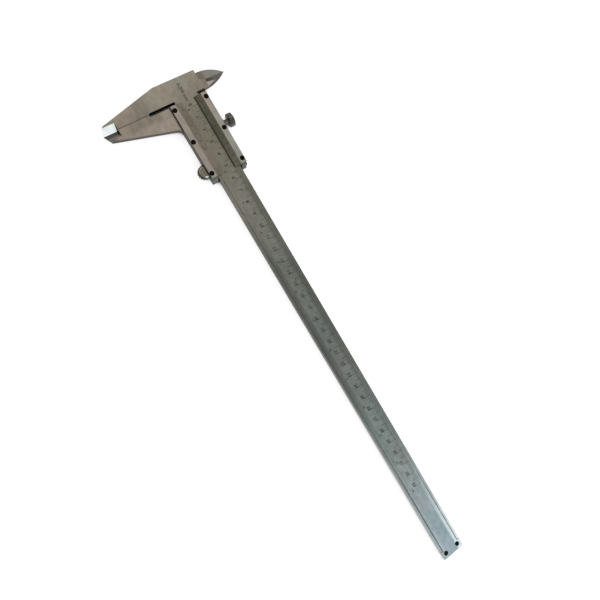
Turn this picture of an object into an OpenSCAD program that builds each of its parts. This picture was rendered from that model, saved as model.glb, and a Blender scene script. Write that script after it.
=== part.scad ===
// Vernier caliper, 0 to 300 mm, lying on its back with the jaws closed.
// X runs along the beam from the closed jaws to the tail, Y towards the inside jaws,
// Z from the resting plane up to the graduated face. Lengths are in millimetres.
// The origin is on the resting plane, on the beam's centre line, where the outside jaws close.

/* [Beam] */
// Length of the beam from the closed jaws to the tail end
beam_len = 399.1; // [360:0.1:440]
// Width of the beam
beam_w = 19; // [17:0.1:22]
// Thickness of the beam and of both jaws
beam_t = 4; // [3.6:0.1:5]
// Width of the shallow land along each long edge of the graduated face
land_w = 2; // [1:0.1:3]
// Depth of that land below the graduated face
land_d = 0.3; // [0.1:0.05:0.5]
// Distance from the tail end to the end of the land
land_end = 6.5; // [6:0.1:12]

/* [Outside jaws] */
// Distance from the closed jaws to the back edge of the head
head_len = 16.2; // [15:0.1:19]
// Straight length of the head's back edge below the beam
head_shoulder = 9; // [5:0.1:14]
// Reach of the outside jaws past the edge of the beam
jaw_reach = 55.8; // [48:0.1:66]
// Width of the fixed jaw at its tip
fixed_tip_w = 5.9; // [5.2:0.1:7]
// Width of the moving jaw at its tip
moving_tip_w = 6.2; // [5.2:0.1:7]
// Slope of the fixed jaw's tip, from its point to its outer corner
fixed_tip_drop = 2.2; // [1:0.1:4]
// Slope of the moving jaw's tip, from its point to its outer corner
moving_tip_drop = 3.4; // [1:0.1:4.5]
// Width of the moving jaw where it leaves the slide
moving_root_w = 19; // [16:0.1:22]
// Radius in the corner between the moving jaw and the slide
jaw_fillet = 4; // [2:0.1:6]
// Depth of the relief in the fixed jaw beside the beam
relief_fixed = 0.7; // [0.5:0.05:1]
// Depth of the relief in the moving jaw, which is also the set-back of the side bars
relief_moving = 1.35; // [1:0.05:1.6]
// Length of that relief from the edge of the beam
relief_len = 20.5; // [14:0.1:26]
// Width of the knife bevel at each jaw's tip
tip_bevel_w = 5; // [4:0.1:5.6]
// Length of the knife bevel from the point of the jaws
tip_bevel_len = 10.8; // [8:0.1:13]
// Thickness left at the knife edge
tip_land = 0.8; // [0.4:0.1:1.4]
// Light gap between the closed measuring faces
jaw_gap = 0.02; // [0.01:0.01:0.05]

/* [Inside jaws] */
// Distance from the closed outside jaws back to the inside measuring edges
inside_edge = 7; // [6.6:0.1:7.6]
// Reach of the inside jaws past the edge of the beam
inside_reach = 26.8; // [23:0.1:30]
// Width of the fixed inside jaw at its root
inside_fixed_w = 6.8; // [5.6:0.1:7]
// Width of the moving inside jaw at its root
inside_moving_w = 7.6; // [6.4:0.1:8]
// Height of the head's step above the edge of the beam
head_step = 5.8; // [5:0.1:7]
// Distance from the edge of the beam to the shoulder where the knife bevels begin
inside_shoulder = 10; // [9:0.1:12]
// Width of the ramp between the head's step and the fixed inside jaw
ramp_w = 1.5; // [0.8:0.1:2.2]
// Width of the knife bevel at the shoulder
knife_root_w = 2.4; // [1.8:0.1:3]
// Width of the knife bevel at the tip
knife_tip_w = 5.1; // [4:0.1:5.6]
// Thickness left at the knife edge
knife_land = 0.25; // [0.15:0.05:0.5]
// Slope of the back of the fixed inside jaw, in degrees
back_slope = 9; // [4:0.5:14]
// Chamfer along the round edge of the fixed inside jaw, from the level of the head's face
back_bevel = 1.5; // [1:0.1:1.6]
// Chamfer along the round edge of the moving inside jaw
blade_chamfer = 0.8; // [0.4:0.1:1.2]
// Gap between the two blades where they cross
blade_clear = 0.06; // [0.04:0.01:0.1]

/* [Slide] */
// Distance from the closed jaws to the tail end of the slide
slide_len = 62.5; // [58:0.1:72]
// Width of each side bar of the slide, from the edge of the beam to its outer face
bar_w = 5.4; // [5:0.1:6.5]
// Bevel on the tail end of each side bar
bar_bevel = 1.4; // [0.6:0.1:2]
// Cut across the tail corner of the upper bar
corner_cut = 1.5; // [1:0.1:3.4]
// Width of the cut across the inner tail corner of the lower bar
lead_w = 1.3; // [0.6:0.1:1.8]
// Length of that cut
lead_len = 3; // [1.5:0.1:4]
// Thickness of the rear plate
rear_t = 3.3; // [3:0.1:4.2]
// Distance from the closed jaws to the head end of the rear plate
rear_start = 0.4; // [0.3:0.1:1]
// Set-back of the rear plate's long edges from the side bars
rear_inset = 0.5; // [0.3:0.1:0.7]
// Chamfer round the back of the rear plate
rear_chamfer = 1.6; // [0.8:0.1:1.8]
// Running clearance between the slide and the beam
run_clear = 0.05; // [0.03:0.01:0.08]

/* [Vernier plates] */
// Thickness of the two vernier plates
plate_t = 2; // [1.8:0.1:2.6]
// Set-back of the plates from the head end of the side bars
plate_start = 0.25; // [0.2:0.05:1]
// Set-back of the plates from the tail end of the side bars
plate_end = 3; // [2.4:0.1:4]
// Width of the flat strip that takes the screws
plate_flat_w = 4.6; // [4:0.1:5]
// Reach of each plate over the beam
plate_over = 4.65; // [3.6:0.05:5.4]
// Thickness of the graduated edge of each plate
plate_edge_t = 0.15; // [0.1:0.05:0.4]
// Small chamfer on the outer edge of each plate
plate_chamfer = 0.25; // [0.15:0.05:0.5]

/* [Thumb rest] */
// Distance from the tail end of the slide to the middle of the thumb rest
thumb_end = 10; // [8.5:0.1:13]
// Radius of the thumb rest
thumb_r = 5.2; // [4.5:0.1:6]
// Distance of its centre below the outer face of the lower bar
thumb_drop = 1.2; // [0.6:0.1:2]
// Width of the sloping rim on the front of the thumb rest
thumb_bevel_w = 1.6; // [0.8:0.1:2]
// Fall of that sloping rim
thumb_bevel_d = 0.85; // [0.4:0.05:1.2]
// Number of grip notches round the thumb rest
notch_count = 7; // [5:1:9]
// Radius of each grip notch
notch_r = 0.5; // [0.3:0.05:0.65]

/* [Plate screws] */
// Distance from the head end of the side bars to the first screw
screw_start = 3.95; // [3.5:0.05:5]
// Distance from the tail end of the side bars to the last screw
screw_end = 6.4; // [5.5:0.1:8]
// Distance of the screws from the outer face of the side bars
screw_edge = 1.95; // [1.9:0.05:2.1]
// Diameter of a screw head
head_d = 3.1; // [2.4:0.1:3.1]
// Height of a screw head
head_h = 1.2; // [0.9:0.1:1.3]
// Depth of a screw head below the face
head_sink = 0.25; // [0.1:0.05:0.4]
// Diameter of a screw's shank
shank_d = 1.8; // [1.4:0.1:2]
// Length of thread held in the rear plate or in the end stop
thread_len = 1.7; // [1.3:0.1:1.9]
// Width of the driver slot
slot_w = 0.45; // [0.3:0.05:0.6]
// Depth of the driver slot
slot_d = 0.45; // [0.3:0.05:0.6]
// Radial clearance round every screw, rivet and pin
fit_clear = 0.04; // [0.02:0.01:0.06]

/* [Gib and lock screw] */
// Thickness of the gib strip between the beam and the upper bar
gib_t = 0.8; // [0.6:0.1:1]
// Set-back of the gib strip from each end of the side bars
gib_end = 4; // [2:0.1:5]
// Distance from the outer plate screws to the gib screws
gib_screw_off = 9.5; // [8:0.1:10]
// Diameter of the gib screws
gib_screw_d = 2; // [1.8:0.1:2.4]
// Distance from the middle plate screw towards the head to the lock screw
lock_off = 3.9; // [3.6:0.1:5]
// Diameter of the lock screw's stem
lock_stem_d = 2.4; // [2:0.1:2.8]
// Diameter of the lock screw's neck
lock_neck_d = 3.8; // [3:0.1:4.6]
// Length of the neck between the upper bar and the knob
lock_neck_len = 4.4; // [3:0.1:6]
// Diameter of the knurled knob
knob_d = 10.3; // [9:0.1:10.6]
// Height of the knurled knob
knob_h = 4; // [3.4:0.1:5.5]
// Height of the dome on the knob
knob_dome = 0.5; // [0.3:0.1:1]
// Chamfer on the rims of the knob
knob_chamfer = 0.5; // [0.3:0.1:0.8]
// Number of knurls
knurl_count = 36; // [24:1:48]
// Depth of the knurls
knurl_d = 0.35; // [0.2:0.05:0.45]

/* [Depth rod and end stop] */
// Width of the depth rod
rod_w = 4; // [3:0.1:5]
// Thickness of the depth rod
rod_t = 1.6; // [1.2:0.1:2]
// Clearance round the depth rod in its groove
rod_clear = 0.1; // [0.06:0.01:0.2]
// Distance from the closed jaws to the head end of the depth rod
rod_start = 6; // [4:0.1:10]
// Length of the foot that is riveted to the rear plate
foot_len = 20; // [16:0.1:26]
// Distance of each rivet from the ends of the foot
rivet_end = 4; // [3:0.1:5]
// Diameter of the rivets
rivet_d = 1.8; // [1.4:0.1:2.2]
// Diameter of the rivets' flush heads
rivet_head_d = 3; // [2.6:0.1:3.4]
// Width and length of the corner cut from the tip of the depth rod
rod_notch = 1.5; // [1:0.1:2]
// Length of the end stop
stop_len = 15.2; // [12:0.1:15.2]
// Set-back of the end stop's sides from the edges of the beam
stop_inset = 1; // [0.5:0.1:1.6]
// Chamfer round the back of the end stop
stop_chamfer = 0.8; // [0.4:0.1:1.2]
// Distance from the tail end to the end stop's screws
tail_screw_end = 3.9; // [3:0.1:5]
// Distance of those screws from the edges of the beam
tail_screw_edge = 3.65; // [3.2:0.05:4.2]

/* [Hidden] */
$fn = 96;
// Half the width of the beam, and the outer face of the side bars
half_w = beam_w / 2;
outer_y = half_w + bar_w;
// Levels from the resting plane upwards
beam_back = rear_t + run_clear;
beam_front = beam_back + beam_t;
bar_front = beam_front + run_clear;
plate_front = bar_front + plate_t;
mid_z = beam_back + beam_t / 2;
bar_t = bar_front - rear_t;
// Inner faces of the side bars
lower_in_y = half_w + run_clear;
upper_in_y = half_w + run_clear + gib_t;
// Outside jaws
tip_y = -half_w - jaw_reach;
// Inside jaws
inside_tip_y = half_w + inside_reach;
step_y = half_w + head_step;
shoulder_y = half_w + inside_shoulder;
blade_t = (beam_t - blade_clear) / 2;
// Rows of screws along the slide
first_x = relief_moving + screw_start;
last_x = slide_len - screw_end;
screw_xs = [first_x, (first_x + last_x) / 2, last_x];
screw_y = outer_y - screw_edge;
gib_xs = [first_x + gib_screw_off, last_x - gib_screw_off];
lock_x = screw_xs[1] - lock_off;
tail_screw_x = beam_len - tail_screw_end;
tail_screw_y = half_w - tail_screw_edge;
// Depth rod
rod_bottom = beam_back + rod_clear;
rivet_xs = [rod_start + rivet_end, rod_start + foot_len - rivet_end];
rivet_top = rod_bottom + rod_t / 2;
// Overlap that makes a cut pass clear through a face
over = 1;

// A profile in Y and Z, drawn along X from x0 to x1
module along_x(x0, x1) {
    translate([x0, 0, 0]) rotate([90, 0, 90]) linear_extrude(x1 - x0) children();
}

// A profile in X and Z, drawn along Y from y0 to y1
module along_y(y0, y1) {
    translate([0, y1, 0]) rotate([90, 0, 0]) linear_extrude(y1 - y0) children();
}

// A flat outline drawn up from z0 to z1
module up_z(z0, z1) {
    translate([0, 0, z0]) linear_extrude(z1 - z0) children();
}

// A box given by its two opposite corners
module block(low, high) {
    translate(low) cube(high - low);
}

// Slot with a round end that relieves both measuring faces beside the beam
module relief_outline() {
    width = relief_fixed + relief_moving;
    end_y = -half_w - relief_len + width / 2;
    translate([(relief_moving - relief_fixed) / 2, end_y]) circle(width / 2);
    translate([-relief_fixed, end_y]) square([width, -half_w - end_y]);
}

// Wedge that thins a jaw to its knife edge; side is -1 for the fixed jaw and 1 for the moving one
module tip_wedge(side, back, front) {
    slope = (front - back - tip_land) / tip_bevel_w;
    along_y(tip_y - over, tip_y + tip_bevel_len)
        polygon([
            [-side * over, back + tip_land - slope * over],
            [side * tip_bevel_w, front],
            [side * tip_bevel_w, front + over],
            [-side * over, front + over]
        ]);
}

// Centre distance of the arc that rounds an inside jaw of a given root width from a base line up to its tip
function ogive_r(width, base_y) = (width * width + pow(inside_tip_y - base_y, 2)) / (2 * width);

// Outline of the fixed inside jaw with the head's step
module fixed_inside_outline() {
    root_x = inside_fixed_w - inside_edge;
    r = ogive_r(inside_fixed_w, step_y);
    translate([-head_len, half_w - over]) square([head_len + root_x, head_step + over]);
    polygon([[-inside_edge - ramp_w, step_y], [-inside_edge, step_y], [-inside_edge, shoulder_y]]);
    intersection() {
        translate([-inside_edge, step_y - over]) square([inside_fixed_w, inside_reach]);
        union() {
            translate([root_x - r, step_y]) circle(r);
            translate([-inside_edge, step_y - over]) square([inside_fixed_w, over]);
        }
    }
}

// Roof of the fixed inside jaw: the knife bevel on one side of the ridge and a gentle slope on the other
module knife_roof() {
    length = inside_tip_y - shoulder_y;
    turn = atan((knife_tip_w - knife_root_w) / length);
    drop = atan((blade_t - knife_land) / knife_tip_w / cos(turn));
    reach = 2 * (inside_edge + inside_fixed_w);
    translate([knife_root_w - inside_edge, shoulder_y, beam_front]) rotate([0, 0, -turn]) {
        rotate([0, -drop, 0]) translate([-reach, 0, 0]) cube([reach, 2 * length, beam_t]);
        rotate([0, back_slope, 0]) cube([reach, 2 * length, beam_t]);
    }
}

// Chamfer along the round edge of the fixed inside jaw, past its shoulder
module round_edge_bevel() {
    root_x = inside_fixed_w - inside_edge;
    r = ogive_r(inside_fixed_w, step_y);
    intersection() {
        translate([root_x - r, step_y, beam_front]) rotate_extrude()
            polygon([[r - back_bevel, 0], [r + over, -back_bevel - over], [r + over, over], [r - back_bevel, over]]);
        block([-inside_edge - over, shoulder_y, mid_z], [root_x + over, inside_tip_y + over, beam_front + over]);
    }
}

// Outline of the fixed outside jaw below the beam
module fixed_jaw_outline() {
    difference() {
        polygon([
            [0, -half_w + over], [-head_len, -half_w + over],
            [-head_len, -half_w - head_shoulder],
            [-fixed_tip_w, tip_y + fixed_tip_drop], [0, tip_y]
        ]);
        relief_outline();
    }
}

// Shallow lands along the two long edges of the graduated face
module edge_lands() {
    for (side = [-1, 1])
        translate([2 * relief_moving, side * half_w - (side > 0 ? land_w : over), beam_front - land_d])
            cube([beam_len - land_end - 2 * relief_moving, land_w + over, land_d + over]);
}

// Places for the end stop's two screws
module at_tail_screws() {
    for (side = [-1, 1]) translate([tail_screw_x, side * tail_screw_y, 0]) children();
}

// Places for a row of three plate screws
module at_plate_screws(side) {
    for (x = screw_xs) translate([x, side * screw_y, 0]) children();
}

// Slotted cheese-head screw, from the bottom of its thread to the face it is sunk in
module screw(bottom, face) {
    top = face - head_sink;
    difference() {
        union() {
            translate([0, 0, bottom]) cylinder(d = shank_d, h = top - bottom);
            translate([0, 0, top - head_h]) cylinder(d = head_d, h = head_h);
        }
        translate([-head_d, -slot_w / 2, top - slot_d]) cube([2 * head_d, slot_w, slot_d + over]);
    }
}

// Hole for a shank, from one level to another
module shank_hole(bottom, top) {
    translate([0, 0, bottom]) cylinder(d = shank_d + 2 * fit_clear, h = top - bottom);
}

// Counterbore that a screw head is sunk in
module head_hole(face) {
    translate([0, 0, face - head_sink - head_h])
        cylinder(d = head_d + 2 * fit_clear, h = head_sink + head_h + over);
}

// Beam, fixed outside jaw and fixed inside jaw in one piece
module main_beam() {
    groove_w = rod_w + 2 * rod_clear;
    groove_top = rod_bottom + rod_t + rod_clear;
    color("#8c857b") difference() {
        union() {
            block([-head_len, -half_w, beam_back], [beam_len, half_w, beam_front]);
            up_z(beam_back, beam_front) fixed_jaw_outline();
            up_z(mid_z + blade_clear / 2, beam_front) fixed_inside_outline();
        }
        tip_wedge(-1, beam_back, beam_front);
        knife_roof();
        round_edge_bevel();
        edge_lands();
        block([rod_start - rod_clear, -groove_w / 2, beam_back - over],
              [beam_len + over, groove_w / 2, groove_top]);
        at_tail_screws() {
            shank_hole(beam_back - over, beam_front);
            head_hole(beam_front);
        }
    }
}

// Block on the back of the tail that stops the slide and closes the rod's groove
module end_stop() {
    side_y = half_w - stop_inset;
    start_x = beam_len - stop_len;
    color("#9aa3a6") difference() {
        along_x(start_x, beam_len)
            polygon([
                [-side_y, beam_back], [-side_y, stop_chamfer], [-side_y + stop_chamfer, 0],
                [side_y - stop_chamfer, 0], [side_y, stop_chamfer], [side_y, beam_back]
            ]);
        at_tail_screws() shank_hole(beam_back - thread_len - fit_clear, beam_back + over);
    }
}

module end_stop_screws() {
    color("#1a1a1a") at_tail_screws() screw(beam_back - thread_len, beam_front);
}

// Outline of the moving outside jaw and the lower side bar
module moving_jaw_outline() {
    difference() {
        polygon([
            [jaw_gap, -lower_in_y], [slide_len, -lower_in_y], [slide_len, -outer_y],
            [moving_root_w, -outer_y], [moving_tip_w, tip_y + moving_tip_drop], [jaw_gap, tip_y]
        ]);
        relief_outline();
    }
}

// Round corner between the lower bar and the sloping edge of the moving jaw
module jaw_corner_outline() {
    edge_angle = atan2(tip_y + moving_tip_drop + outer_y, moving_tip_w - moving_root_w);
    half_angle = -edge_angle / 2;
    run = jaw_fillet / tan(half_angle);
    centre = jaw_fillet / sin(half_angle) * [cos(half_angle), -sin(half_angle)];
    edge_end = run * [cos(edge_angle), sin(edge_angle)];
    translate([moving_root_w, -outer_y]) difference() {
        polygon([
            [run, 0], [run, over], [-over, over], edge_end - [over, 0], edge_end, centre
        ]);
        translate(centre) circle(jaw_fillet);
    }
}

// Half-round thumb rest with grip notches round its rim
module thumb_outline() {
    step = 180 / (notch_count + 1);
    translate([slide_len - thumb_end, -outer_y - thumb_drop]) difference() {
        union() {
            intersection() {
                circle(thumb_r);
                translate([-thumb_r, -thumb_r]) square([2 * thumb_r, thumb_r]);
            }
            translate([-thumb_r, 0]) square([2 * thumb_r, thumb_drop + over]);
        }
        for (k = [1 : notch_count]) rotate(180 + k * step) translate([thumb_r, 0]) circle(notch_r);
    }
}

// Sloping rim on the front of the thumb rest, round its half circle and down its two straight sides
module thumb_bevel() {
    slope = thumb_bevel_d / thumb_bevel_w;
    section = [
        [thumb_r - thumb_bevel_w, 0], [thumb_r + over, -thumb_bevel_d - slope * over],
        [thumb_r + over, over], [thumb_r - thumb_bevel_w, over]
    ];
    reach = thumb_r + 2 * over;
    translate([slide_len - thumb_end, -outer_y - thumb_drop, bar_front]) {
        intersection() {
            rotate_extrude() polygon(section);
            block([-reach, -reach, -bar_t], [reach, 0, over]);
        }
        for (side = [0, 1]) mirror([side, 0, 0]) along_y(0, thumb_drop) polygon(section);
    }
}

// Cut across the inner tail corner of the lower bar, which leads the beam in
module lead_in() {
    slope = lead_w / lead_len;
    up_z(rear_t - over, bar_front + over)
        polygon([
            [slide_len - lead_len, -lower_in_y], [slide_len + over, -lower_in_y - lead_w - slope * over],
            [slide_len + over, over - lower_in_y], [slide_len - lead_len, over - lower_in_y]
        ]);
}

// Slope across the tail end of a side bar
module bar_end_bevel() {
    along_y(-outer_y - over, outer_y + over)
        polygon([
            [slide_len - bar_bevel, bar_front], [slide_len + over, bar_front - bar_bevel - over],
            [slide_len + over, bar_front + over], [slide_len - bar_bevel, bar_front + over]
        ]);
}

// Lower side bar of the slide with the moving outside jaw and the thumb rest
module moving_jaw() {
    color("#8f887d") difference() {
        union() {
            up_z(rear_t, bar_front) moving_jaw_outline();
            up_z(rear_t, bar_front) jaw_corner_outline();
            up_z(rear_t, bar_front) thumb_outline();
        }
        tip_wedge(1, rear_t, bar_front);
        thumb_bevel();
        lead_in();
        bar_end_bevel();
        at_plate_screws(-1) shank_hole(rear_t - over, bar_front + over);
    }
}

// Moving inside jaw, half as thick as the beam, that slides behind the head
module moving_blade() {
    root_x = -inside_edge - inside_moving_w;
    base_y = shoulder_y - (shoulder_y - step_y) / 2;
    r = ogive_r(inside_moving_w, base_y);
    top = rear_t + run_clear + blade_t;
    slope = (blade_t - knife_land) / knife_root_w;
    difference() {
        up_z(rear_t, top) intersection() {
            polygon([
                [root_x, upper_in_y], [relief_moving + over, upper_in_y], [relief_moving + over, outer_y],
                [-inside_edge, shoulder_y], [-inside_edge, inside_tip_y], [root_x, inside_tip_y]
            ]);
            union() {
                translate([root_x + r, base_y]) circle(r);
                translate([root_x, 0]) square([2 * r, base_y]);
            }
        }
        along_y(shoulder_y, inside_tip_y + over)
            polygon([
                [-inside_edge + over, top - knife_land + slope * over],
                [-inside_edge - knife_root_w, rear_t],
                [-inside_edge - knife_root_w, rear_t - over], [-inside_edge + over, rear_t - over]
            ]);
        translate([root_x + r, base_y, top]) rotate_extrude()
            polygon([[r - blade_chamfer, 0], [r + over, -blade_chamfer - over], [r + over, over],
                     [r - blade_chamfer, over]]);
    }
}

// Upper side bar of the slide with the moving inside jaw
module upper_bar() {
    color("#8f887d") difference() {
        union() {
            up_z(rear_t, bar_front)
                polygon([
                    [relief_moving, upper_in_y], [slide_len, upper_in_y], [slide_len, outer_y - corner_cut],
                    [slide_len - corner_cut, outer_y], [relief_moving, outer_y]
                ]);
            moving_blade();
        }
        bar_end_bevel();
        at_plate_screws(1) shank_hole(rear_t - over, bar_front + over);
        for (x = gib_xs) cross_hole(x, gib_screw_d);
        cross_hole(lock_x, lock_stem_d);
    }
}

// Hole through the upper bar towards the gib strip
module cross_hole(x, d) {
    translate([x, upper_in_y - over, mid_z]) rotate([-90, 0, 0])
        cylinder(d = d + 2 * fit_clear, h = outer_y - upper_in_y + 2 * over);
}

// Plate behind the beam that joins the two side bars
module rear_plate() {
    side_y = outer_y - rear_inset;
    color("#857f75") difference() {
        along_x(rear_start, slide_len)
            polygon([
                [-side_y, rear_t], [-side_y, rear_chamfer], [-side_y + rear_chamfer, 0],
                [side_y - rear_chamfer, 0], [side_y, rear_chamfer], [side_y, rear_t]
            ]);
        along_y(-outer_y, outer_y)
            polygon([
                [slide_len - rear_chamfer, 0], [slide_len + over, rear_chamfer + over],
                [slide_len + over, -over], [slide_len - rear_chamfer, -over]
            ]);
        for (side = [-1, 1]) at_plate_screws(side) shank_hole(rear_t - thread_len - fit_clear, rear_t + over);
        for (x = rivet_xs) translate([x, 0, 0]) rivet(fit_clear, rear_t + over, over);
    }
}

// Cross-section of a vernier plate on the upper side
module plate_profile() {
    flat_y = outer_y - plate_flat_w;
    edge_y = half_w - plate_over;
    polygon([
        [edge_y, bar_front], [outer_y, bar_front], [outer_y, plate_front - plate_chamfer],
        [outer_y - plate_chamfer, plate_front], [flat_y, plate_front],
        [edge_y, bar_front + plate_edge_t]
    ]);
}

// Bevelled plate with its three screw holes; side is 1 above the beam and -1 below it
module vernier_plate(side) {
    difference() {
        along_x(relief_moving + plate_start, slide_len - plate_end)
            mirror([side < 0 ? 1 : 0, 0]) plate_profile();
        at_plate_screws(side) {
            shank_hole(bar_front - over, plate_front);
            head_hole(plate_front);
        }
    }
}

module upper_vernier_plate() { color("#96918a") vernier_plate(1); }

module lower_vernier_plate() { color("#96918a") vernier_plate(-1); }

module upper_plate_screws() {
    color("#1a1a1a") at_plate_screws(1) screw(rear_t - thread_len, plate_front);
}

module lower_plate_screws() {
    color("#1a1a1a") at_plate_screws(-1) screw(rear_t - thread_len, plate_front);
}

// Springy strip between the upper bar and the beam
module gib_strip() {
    color("#b08d57")
        block([relief_moving + gib_end, half_w + run_clear, beam_back],
              [slide_len - gib_end, upper_in_y, beam_front]);
}

// Slotted set screws that press on the gib strip
module gib_screws() {
    length = outer_y - upper_in_y - head_sink;
    color("#55524c") for (x = gib_xs) translate([x, upper_in_y, mid_z]) rotate([-90, 0, 0])
        difference() {
            cylinder(d = gib_screw_d, h = length);
            translate([-gib_screw_d, -slot_w / 2, length - slot_d])
                cube([2 * gib_screw_d, slot_w, slot_d + over]);
        }
}

// Star-shaped outline of a straight knurl
module knurl_outline() {
    step = 360 / knurl_count;
    polygon([
        for (k = [0 : knurl_count - 1], tooth = [0, 1])
            let (r = knob_d / 2 - tooth * knurl_d, angle = (k + tooth / 2) * step)
                [r * cos(angle), r * sin(angle)]
    ]);
}

// Knurled screw that clamps the slide; its axis runs along Y
module lock_screw() {
    bar_depth = outer_y - upper_in_y;
    cone_h = (lock_neck_d - lock_stem_d) / 2;
    color("#55524b") translate([lock_x, upper_in_y + run_clear, mid_z]) rotate([-90, 0, 0]) {
        cylinder(d = lock_stem_d, h = bar_depth + over);
        translate([0, 0, bar_depth]) cylinder(d1 = lock_stem_d, d2 = lock_neck_d, h = cone_h);
        translate([0, 0, bar_depth + cone_h]) cylinder(d = lock_neck_d, h = lock_neck_len - cone_h + over);
        translate([0, 0, bar_depth + lock_neck_len]) knob();
    }
}

// Knob with a band of straight knurls between two chamfered ends
module knob() {
    core_r = knob_d / 2 - 2 * knurl_d;
    end_r = core_r - knob_chamfer;
    translate([0, 0, knob_chamfer]) linear_extrude(knob_h - 2 * knob_chamfer) knurl_outline();
    rotate_extrude()
        polygon([
            [0, 0], [end_r, 0], [core_r, 2 * knob_chamfer], [core_r, knob_h - 2 * knob_chamfer],
            [end_r, knob_h], [0, knob_h + knob_dome]
        ]);
}

// Thin rod in the groove of the beam's back, with a foot riveted to the rear plate
module depth_rod() {
    side_y = rod_w / 2;
    end_x = beam_len - rod_clear;
    color("#8a8680") difference() {
        union() {
            block([rod_start, -side_y, rod_bottom], [end_x, side_y, rod_bottom + rod_t]);
            block([rod_start, -side_y, rear_t], [rod_start + foot_len, side_y, rod_bottom + rod_t / 2]);
        }
        block([end_x - rod_notch, side_y - rod_notch, rod_bottom - over],
              [end_x + over, side_y + over, rod_bottom + rod_t + over]);
        for (x = rivet_xs) translate([x, 0, rear_t - over])
            cylinder(d = rivet_d + 2 * fit_clear, h = rivet_top + fit_clear - rear_t + over);
    }
}

// Flush-headed rivet, or its hole when a clearance is given
module rivet(clear, top, below) {
    sink = (rivet_head_d - rivet_d) / 2;
    translate([0, 0, -below]) cylinder(d = rivet_head_d + 2 * clear, h = below);
    cylinder(d1 = rivet_head_d + 2 * clear, d2 = rivet_d + 2 * clear, h = sink);
    cylinder(d = rivet_d + 2 * clear, h = top);
}

module depth_rod_rivets() {
    color("#6f6b64") for (x = rivet_xs) translate([x, 0, 0]) rivet(0, rivet_top, 0);
}

main_beam();
end_stop();
end_stop_screws();
moving_jaw();
upper_bar();
rear_plate();
upper_vernier_plate();
lower_vernier_plate();
upper_plate_screws();
lower_plate_screws();
gib_strip();
gib_screws();
lock_screw();
depth_rod();
depth_rod_rivets();
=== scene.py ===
# %% [markdown]
# # A long vernier caliper, dressed for its picture
# The solid parts of the caliper come from the imported model, at their real size and place. This lesson adds
# what a solid model leaves out: the graduations, the numbers, the ground and handled steel, the light and
# the camera. The first cell loads the fixed frame.

# %% Load the frame
import math

import bpy
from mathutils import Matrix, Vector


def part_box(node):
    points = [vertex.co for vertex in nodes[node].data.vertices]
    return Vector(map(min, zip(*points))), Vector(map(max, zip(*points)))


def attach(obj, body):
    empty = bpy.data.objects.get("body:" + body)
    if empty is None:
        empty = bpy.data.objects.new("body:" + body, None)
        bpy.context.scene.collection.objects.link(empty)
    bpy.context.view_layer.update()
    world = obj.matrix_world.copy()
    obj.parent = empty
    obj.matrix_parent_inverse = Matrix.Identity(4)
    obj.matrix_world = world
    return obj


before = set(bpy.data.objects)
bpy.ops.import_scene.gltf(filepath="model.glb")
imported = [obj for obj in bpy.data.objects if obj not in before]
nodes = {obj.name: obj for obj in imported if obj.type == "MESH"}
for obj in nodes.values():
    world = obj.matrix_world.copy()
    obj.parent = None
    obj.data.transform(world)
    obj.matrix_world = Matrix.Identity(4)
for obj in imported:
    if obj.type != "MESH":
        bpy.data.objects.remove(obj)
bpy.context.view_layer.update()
scene = bpy.context.scene
scene.view_settings.view_transform = "Standard"
MM = 0.001


# %% [markdown]
# ## The camera
# The picture looks down on the caliper, which runs from the top left to the bottom right of the frame.
# A camera can be placed by eye, but small parts show every error. Here its place and turn come from matching
# the plate screws, the tail and the centimetre numbers, and the lens is the one that gives the same
# perspective: a wide one, held close.

# %% Camera at the picture's place
CAMERA_PLACE_MM = (133.520, -124.089, 396.882)
CAMERA_TURN_DEG = (4.9144, -17.1391, 58.0204)
LENS_MM = 33.0046
SENSOR_MM = 36.0
NEAREST = 0.01
FARTHEST = 20.0

camera_data = bpy.data.cameras.new("camera")
camera_data.sensor_width = SENSOR_MM
camera_data.sensor_fit = "AUTO"
camera_data.lens = LENS_MM
camera_data.clip_start = NEAREST
camera_data.clip_end = FARTHEST
camera = bpy.data.objects.new("camera", camera_data)
camera.location = [value * MM for value in CAMERA_PLACE_MM]
camera.rotation_euler = [math.radians(value) for value in CAMERA_TURN_DEG]
scene.collection.objects.link(camera)
scene.camera = camera
print("camera at", [round(value, 4) for value in camera.location])


# %% [markdown]
# ## Small helpers for shader trees
# A material is a tree of nodes, and most of its script is wiring. These helpers wire one node each, so that
# the cells below can be read as recipes: do a sum, spread a value over a range, blend two colours.

# %% Helpers for node trees
def fresh_tree(holder):
    """Turns nodes on for a material or a world, empties its tree and gives it back."""
    holder.use_nodes = True
    holder.node_tree.nodes.clear()
    return holder.node_tree


def feed(tree, socket, source):
    """Gives a socket a plain value, or links it to another socket."""
    if isinstance(source, bpy.types.NodeSocket):
        tree.links.new(source, socket)
    elif isinstance(source, (tuple, list)) and socket.type == "RGBA":
        socket.default_value = (*source[:3], 1.0)
    elif source is not None:
        socket.default_value = source


def sum_node(tree, operation, first, second=None, clamp=False):
    """One Math node; each input is a number or a socket."""
    node = tree.nodes.new("ShaderNodeMath")
    node.operation = operation
    node.use_clamp = clamp
    feed(tree, node.inputs[0], first)
    feed(tree, node.inputs[1], second)
    return node.outputs[0]


def spread(tree, value, low, high, at_low=0.0, at_high=1.0):
    """Takes a value from one range to another and stops at both ends."""
    node = tree.nodes.new("ShaderNodeMapRange")
    feed(tree, node.inputs["Value"], value)
    feed(tree, node.inputs["From Min"], low)
    feed(tree, node.inputs["From Max"], high)
    feed(tree, node.inputs["To Min"], at_low)
    feed(tree, node.inputs["To Max"], at_high)
    return node.outputs[0]


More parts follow.
